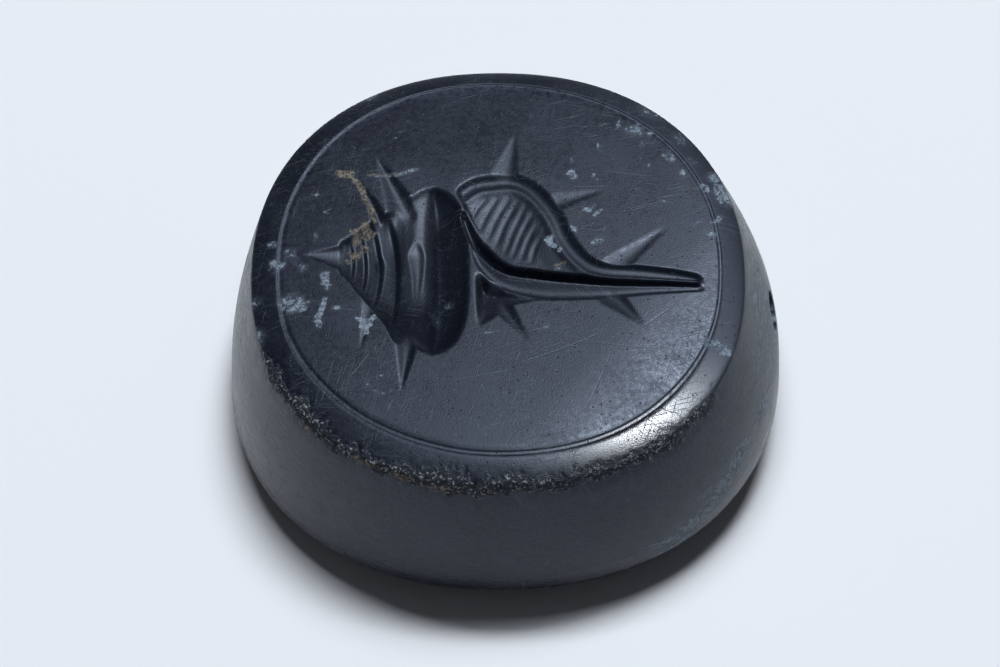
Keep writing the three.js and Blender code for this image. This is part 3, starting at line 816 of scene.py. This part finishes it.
# The stone's finish. Sizes of grains are in millimetres.
blackStone = {
    "colour": (0.0048, 0.006, 0.0108, 1),
    "paler": (0.0085, 0.0104, 0.017, 1),  # cloudy patches
    "reflectionTint": (0.62, 0.76, 1.0, 1),
    "rubbedTint": (0.86, 0.93, 1.0, 1),
    "speck": (0.06, 0.068, 0.074, 1),
    "dustColour": (0.05, 0.054, 0.07, 1),
    "limeColour": (0.25, 0.285, 0.31, 1),
    "limeThin": (0.075, 0.09, 0.108, 1),
    "veilAndReflectionColour": (0.23, 0.28, 0.34, 1),  # film of lime on the side; on the right side it is a painted reflection of the floor
    "sideColour": (0.03, 0.042, 0.075, 1),
    "earthColour": (0.2, 0.165, 0.12, 1),
    "earthDark": (0.05, 0.038, 0.028, 1),
    "brokenColour": (0.01, 0.012, 0.016, 1),
    "brokenPale": (0.25, 0.243, 0.222, 1),
    "ior": 1.35,
    "shine": (0.5, 0.12),  # specular level, and a lower one in the deepest cuts and the low cuts, which renders them darker
    "polish": (0.34, 0.42),  # roughness from the best polished places to the dullest
    "sidePolish": (0.24, 0.34),
    "mottle": 0.11,  # rise of the roughness in fine dull patches
    # roughness of what lies over the polish
    "rough": {
        "rim": 0.62, "rubbed": 0.22, "sunk": 0.48, "deep": 0.8, "lines": 0.5, "thin": 0.7,
        "broken": 0.75, "lime": 0.8, "earth": 0.85,
    },
    # noises: size of the grains, detail and roughness of the octaves, turn, and squeeze along the axes
    "noises": {
        "cloud": (1.9, 4.0, 0.6), "fine": (0.2, 4.0, 0.7), "grain": (0.05, 2.0, 0.6),
        "crumb": (0.12, 3.0, 0.65), "specks": (0.11, 1.0, 0.5), "handled": (2.6, 2.0, 0.5),
        "streak": (0.7, 3.0, 0.6, 0, (1, 1, 0.12)),  # runs level round the side
    },
    # painted fields: strength of the noise that breaks them up, and the levels they are cut between
    "masks": {
        "lime": (3.6, 0.5, 0.9), "thin": (3.4, 0.08, 0.85), "earth": (2.2, 0.3, 0.8),
        "broken": (3.6, 0.25, 0.75),
    },
    # levels of a noise from none to all of what it brings in
    "levels": {
        "paler": (0.35, 0.75), "speck": (0.7, 0.76), "sideTone": (0.42, 0.75), "dust": (0.3, 0.6),
        "brokenPale": (0.54, 0.64), "film": (0.42, 0.64), "filmGrain": (0.34, 0.6), "lime": (0.35, 0.65),
        "earth": (0.38, 0.62), "dull": (0.3, 0.75), "mottle": (0.38, 0.62), "sideDull": (0.35, 0.65),
        "strand": (0.7, 0.8), "handled": (0.4, 0.62), "pit": (0.8, 0.86), "pitEdge": (0.26, 0.1),
    },
    "shares": {"specks": 0.6, "lines": 0.42, "sideTone": 0.12, "veilAndReflection": 0.3, "thin": 0.35},  # at most
    # relief in millimetres: streaks on the side, crumbs where it is broken, crusts of lime and earth
    "heights": {
        "grain": 0.0062, "pits": -0.012, "lines": -0.003, "streak": 0.0025, "crumb": 0.045, "crust": 0.012,
    },
    "pitSpacing": 0.154,
    "strands": ((18, 0.9), (-42, 0.7), (74, 0.8), (-8, 1.2)),  # fine scratches: degrees and length
    "strandSqueeze": (1, 0.045, 1),
    # longer scratches across the face: middle, direction in degrees, half length and bend
    "scratchWidth": 0.03,
    "scratchFull": 0.6,  # share of the length that is not fading
    "scratches": [
        (3.5, -4.6, 68, 1.4, 0.02), (2.2, -3.3, 24, 1.9, 0.03), (3.9, -3.1, -8, 1.8, 0.05),
        (-0.6, -4.4, 12, 1.2, 0.02), (5.6, -1.9, 40, 0.8, 0.0), (4.6, 4.2, -6, 0.9, 0.0),
        (3.2, 3.6, 2, 0.7, 0.0), (-4.9, -3.9, 55, 0.7, 0.08),
    ],
}
stoneMaterial = bpy.data.materials.new("wornBlackStone")
stoneMaterial.use_nodes = True
tree = stoneMaterial.node_tree


# node of a given kind, with its settings, and its inputs set to a value or linked to another node's output
def addNode(kind, inputs, **settings):
    node = tree.nodes.new(kind)
    for name, value in settings.items():
        setattr(node, name, value)
    for name, value in inputs.items():
        if isinstance(value, bpy.types.NodeSocket):
            tree.links.new(value, node.inputs[name])
        else:
            node.inputs[name].default_value = value
    return node


objectPlace = addNode("ShaderNodeTexCoord", {}).outputs["Object"]


# noise with grains of a given size in millimetres, turned about +Z and squeezed along its axes where asked
def grainNoise(size, detail=2.0, rough=0.5, turn=0, squeeze=None):
    vector = objectPlace
    if squeeze:
        turned = {"Vector": objectPlace, "Rotation": (0, 0, math.radians(turn)), "Scale": squeeze}
        vector = addNode("ShaderNodeMapping", turned, vector_type="TEXTURE").outputs[0]
    settings = {"Vector": vector, "Scale": 1 / (size * mm), "Detail": detail, "Roughness": rough}
    return addNode("ShaderNodeTexNoise", settings).outputs["Fac"]


# one step of arithmetic
def mathNode(operation, a, b, c=0.0):
    return addNode("ShaderNodeMath", {0: a, 1: b, 2: c}, operation=operation).outputs[0]


# product of two
def times(a, b):
    return mathNode("MULTIPLY", a, b)


# rises from 0 to 1 as the value goes from low to high
def ramp(value, low, high):
    inputs = {"Value": value, "From Min": low, "From Max": high}
    return addNode("ShaderNodeMapRange", inputs, interpolation_type="SMOOTHSTEP").outputs["Result"]


# ramp between the levels of that name
def rising(noise, name):
    return ramp(noise, *blackStone["levels"][name])


# a * (1 - share) + b * share, for values or colours, which have their own sockets on the node
def blend(share, a, b, kind="FLOAT"):
    first, out = {"FLOAT": (2, 0), "RGBA": (6, 2)}[kind]
    return addNode("ShaderNodeMix", {0: share, first: a, first + 1: b}, data_type=kind).outputs[out]


# the same for colours
def blendColour(share, a, b):
    return blend(share, a, b, "RGBA")


# a painted field broken up by noise: field * (1 + strength * (noise - 0.5)), cut between two levels
def raggedMask(field, noise, strength, low, high):
    wander = mathNode("MULTIPLY_ADD", noise, strength, 1 - strength / 2)
    return ramp(times(field, wander), low, high)


# a field painted on the points
def painted(name):
    return addNode("ShaderNodeAttribute", {}, attribute_name=name).outputs["Fac"]


# one scratch: 1 on a thin line y = bend * x^2, laid through a place on the face, and 0 off it
def scratchLine(x, y, degrees, halfLength, bend):
    middleX, middleY = faceMiddle
    laid = {
        "Vector": objectPlace, "Location": ((x + middleX) * mm, (y + middleY) * mm, 0),
        "Rotation": (0, 0, math.radians(degrees)), "Scale": (mm, mm, mm),
    }
    turned = addNode("ShaderNodeMapping", laid, vector_type="TEXTURE").outputs[0]
    axes = addNode("ShaderNodeSeparateXYZ", {"Vector": turned}).outputs
    bent = times(times(axes[0], axes[0]), bend)
    away = mathNode("ABSOLUTE", mathNode("SUBTRACT", axes[1], bent), 0.0)
    along = mathNode("ABSOLUTE", axes[0], 0.0)
    ends = ramp(along, halfLength, halfLength * blackStone["scratchFull"])
    return times(ramp(away, blackStone["scratchWidth"], 0.0), ends)


# all scratches: fine strands in several directions, gathered where the stone was handled, and the long ones
def scratchLines(handled):
    lines = 0.0
    for turn, size in blackStone["strands"]:
        strand = grainNoise(size, detail=0.0, turn=turn, squeeze=blackStone["strandSqueeze"])
        lines = mathNode("MAXIMUM", lines, rising(strand, "strand"))
    lines = times(lines, rising(handled, "handled"))
    for scratch in blackStone["scratches"]:
        lines = mathNode("MAXIMUM", lines, scratchLine(*scratch))
    return lines


# small pits: the middles of a few cells, chosen by the cells' random colours
def pitMarks():
    spacing = blackStone["pitSpacing"] * mm
    cells = addNode("ShaderNodeTexVoronoi", {"Vector": objectPlace, "Scale": 1 / spacing}).outputs
    red = addNode("ShaderNodeSeparateColor", {"Color": cells["Color"]}).outputs[0]
    return times(rising(cells["Distance"], "pitEdge"), rising(red, "pit"))


# black polished stone: cloudy colour and gloss, fine grain, pits and scratches, then the broken edge, lime
# (on the right side also a painted reflection) and earth over them; each layer is a share, worked out from a
# noise or a painted field, and a value
def makeBlackStone():
    look, shares = blackStone, blackStone["shares"]
    shader = tree.nodes["Principled BSDF"].inputs
    shader["IOR"].default_value = look["ior"]
    noises = {name: grainNoise(*settings) for name, settings in look["noises"].items()}
    cloud, fine, crumb, streak = (noises[name] for name in ("cloud", "fine", "crumb", "streak"))
    fieldNames = ("broken", "lime", "earth", "sunk", "deep", "rubbed", "rim", "side", "dust")
    fields = {name: painted(name) for name in fieldNames}
    side, deep, rubbed = fields["side"], fields["deep"], fields["rubbed"]
    lime = raggedMask(fields["lime"], fine, *look["masks"]["lime"])
    thin = raggedMask(fields["lime"], cloud, *look["masks"]["thin"])
    earth = raggedMask(fields["earth"], fine, *look["masks"]["earth"])
    broken = raggedMask(fields["broken"], fine, *look["masks"]["broken"])
    lines = scratchLines(noises["handled"])

    film = times(rising(streak, "film"), rising(fine, "filmGrain"))
    # the veil: thin lime on the face, a film of lime on the side, and on the right side a painted reflection
    veilAndReflection = times(thin, blend(side, shares["veilAndReflection"], film))
    veilAndReflectionTone = blendColour(side, look["limeThin"], look["veilAndReflectionColour"])
    brokenTone = blendColour(rising(crumb, "brokenPale"), look["brokenColour"], look["brokenPale"])
    limeTone = blendColour(rising(crumb, "lime"), look["limeThin"], look["limeColour"])
    earthTone = blendColour(rising(crumb, "earth"), look["earthDark"], look["earthColour"])
    colour = blendColour(rising(cloud, "paler"), look["colour"], look["paler"])
    tones = (
        (times(rising(noises["specks"], "speck"), shares["specks"]), look["speck"]),
        (times(lines, shares["lines"]), look["speck"]),
        (times(rising(streak, "sideTone"), times(side, shares["sideTone"])), look["sideColour"]),
        (times(fields["dust"], rising(fine, "dust")), look["dustColour"]),
        (broken, brokenTone), (veilAndReflection, veilAndReflectionTone), (lime, limeTone), (earth, earthTone),
    )
    for share, tone in tones:
        colour = blendColour(share, colour, tone)
    tree.links.new(colour, shader["Base Color"])

    rough = blend(rising(cloud, "dull"), *look["polish"])
    rough = mathNode("MULTIPLY_ADD", rising(fine, "mottle"), look["mottle"], rough)
    sidePolish = blend(rising(streak, "sideDull"), *look["sidePolish"])
    finishes = {**look["rough"], "side": sidePolish}
    layers = {
        "rim": fields["rim"], "rubbed": rubbed, "sunk": fields["sunk"], "deep": deep, "side": side,
        "lines": lines, "thin": times(thin, shares["thin"]), "broken": broken, "lime": lime, "earth": earth,
    }
    for name, share in layers.items():
        rough = blend(share, rough, finishes[name])
    tree.links.new(rough, shader["Roughness"])
    # the deep and low cuts get less shine, so they render darker
    tree.links.new(blend(deep, *look["shine"]), shader["Specular IOR Level"])
    tint = blendColour(rubbed, look["reflectionTint"], look["rubbedTint"])
    tree.links.new(tint, shader["Specular Tint"])

    reliefs = {
        "grain": noises["grain"], "pits": pitMarks(), "lines": lines, "streak": times(streak, side),
        "crumb": times(crumb, broken), "crust": times(crumb, mathNode("MAXIMUM", lime, earth)),
    }
    height = 0.0
    for name, relief in reliefs.items():
        height = mathNode("ADD", height, times(relief, look["heights"][name]))
    bump = addNode("ShaderNodeBump", {"Strength": 1.0, "Distance": mm, "Height": height})
    tree.links.new(bump.outputs["Normal"], shader["Normal"])


makeBlackStone()
sealStone.data.materials.clear()
sealStone.data.materials.append(stoneMaterial)
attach(sealStone, "root")
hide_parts("seal_stone")
print("stone: finish applied")

# Floor, light and camera, in metres.
studio = {
    "floorColour": (0.88, 0.84, 0.79, 1),
    "floorRoughness": 0.9,
    "lightColour": (0.88, 0.98, 1.14),
    "glintColour": (1.03, 1.0, 0.98),
    "skyStrength": 0.06,
    # the lights: slope of their direction along X and Y, distance, length along X, width and radiance;
    # the glint is a panel that shows only in the stone's polish, where the other two do not
    "strip": (0.0, 0.158, 0.6, 0.277, 0.06, 50.0),
    "lamp": (0.135, 0.168, 0.6, 0.15, 0.15, 26.5),
    "glint": (0.36, 0.27, 0.6, 0.12, 0.12, 235.0),
    "floorReach": 1.0,
    "elevation": 57.4,  # camera: degrees above the table, distance, then lens and film in millimetres
    "distance": 0.23,
    "lens": 232.3,
    "film": 36,
    "clipStart": 0.005,
    "aim": (-0.00019, -0.00029, 0.0088),
    "aimDown": 0.00227,  # the camera is moved this far down the picture
}


# floor: one square face in z = 0
def makeFloor():
    mesh = bpy.data.meshes.new("floor")
    far = studio["floorReach"]
    mesh.from_pydata([(-far, -far, 0), (far, -far, 0), (far, far, 0), (-far, far, 0)], [], [(0, 1, 2, 3)])
    floor = addObject("floor", mesh)
    material = bpy.data.materials.new("paleFloor")
    material.use_nodes = True
    shader = material.node_tree.nodes["Principled BSDF"]
    shader.inputs["Base Color"].default_value = studio["floorColour"]
    shader.inputs["Roughness"].default_value = studio["floorRoughness"]
    shader.inputs["Specular IOR Level"].default_value = 0.0
    mesh.materials.append(material)


# oval area light facing the stone, its length along X: power = radiance * pi * its area
def addSoftLight(name):
    slopeX, slopeY, distance, length, width, radiance = studio[name]
    light = bpy.data.lights.new(name, "AREA")
    light.shape = "ELLIPSE"
    light.size, light.size_y = length, width
    light.energy = radiance * math.pi**2 * length * width / 4
    light.color = studio["glintColour" if name == "glint" else "lightColour"]
    lamp = addObject(name, light)
    away = Vector((slopeX, slopeY, 1)).normalized()
    across = (Vector((1, 0, 0)) - away * away.x).normalized()
    turn = Matrix((across, away.cross(across), away)).transposed()
    lamp.matrix_world = Matrix.Translation(away * distance) @ turn.to_4x4()
    lamp.visible_glossy = name == "glint"
    lamp.visible_diffuse = name != "glint"


# even light from all round
def makeSky():
    world = bpy.data.worlds.new("studio")
    world.use_nodes = True
    background = world.node_tree.nodes["Background"]
    background.inputs["Color"].default_value = (*studio["lightColour"], 1)
    background.inputs["Strength"].default_value = studio["skyStrength"]
    bpy.context.scene.world = world


# camera: back from its aim along the elevation, then down the picture
def addCamera():
    cameraData = bpy.data.cameras.new("camera")
    cameraData.lens = studio["lens"]
    cameraData.sensor_width = studio["film"]
    cameraData.sensor_fit = "HORIZONTAL"
    cameraData.clip_start = studio["clipStart"]
    camera = addObject("camera", cameraData)
    lift = math.radians(studio["elevation"])
    back = Vector((0, -math.cos(lift), math.sin(lift)))
    imageUp = Vector((0, math.sin(lift), math.cos(lift)))
    camera.location = Vector(studio["aim"]) + back * studio["distance"] - imageUp * studio["aimDown"]
    camera.rotation_euler = (math.pi / 2 - lift, 0, 0)
    bpy.context.scene.camera = camera


makeFloor()
addSoftLight("strip")
addSoftLight("lamp")
addSoftLight("glint")
makeSky()
addCamera()
bpy.context.scene.view_settings.view_transform = "Standard"
print("studio: floor, lights and camera set")
